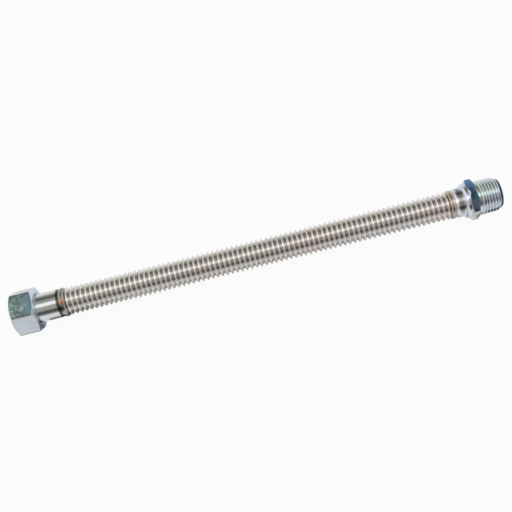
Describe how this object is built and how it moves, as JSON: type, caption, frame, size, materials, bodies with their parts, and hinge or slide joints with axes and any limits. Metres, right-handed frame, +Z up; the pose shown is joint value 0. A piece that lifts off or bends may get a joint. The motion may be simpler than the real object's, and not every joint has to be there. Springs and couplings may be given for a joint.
{
  "type": "corrugated flexible hose",
  "caption": "Straight corrugated metal hose with a hexagon swivel nut on a smooth tail at one end and a hexagon fitting with a male taper pipe thread at the other.",
  "frame": {"origin": "on the surface that the hose lies on, under the middle of its length and under its centreline", "axes": "+X along the hose from the nut's open face to the male end, +Z up, +Y across; the centreline is at z = 12.70 mm"},
  "size_m": [0.3054, 0.0294, 0.0254],
  "materials": {
    "zinc_plate": "bright zinc plating with a faint blue and green passivation cast",
    "black_rubber": "matt moulded rubber",
    "bright_steel": "bright turned steel",
    "weld_tint": "stainless steel with straw to brown heat tint",
    "stainless": "bright annealed stainless steel"
  },
  "bodies": {
    "hose": {"corrugated_tube": "stainless", "nut_tail": "bright_steel", "weld_ring_nut_end": "weld_tint", "weld_ring_male_end": "weld_tint", "male_fitting": "zinc_plate"},
    "nut": {"swivel_nut": "zinc_plate", "sealing_washer": "black_rubber"}
  },
  "joints": [
    {"name": "nut_spin", "type": "hinge", "parent": "hose", "child": "nut", "pos_m": [-0.14518, 0, 0.0127], "axis": [1, 0, 0], "continuous": true}
  ]
}
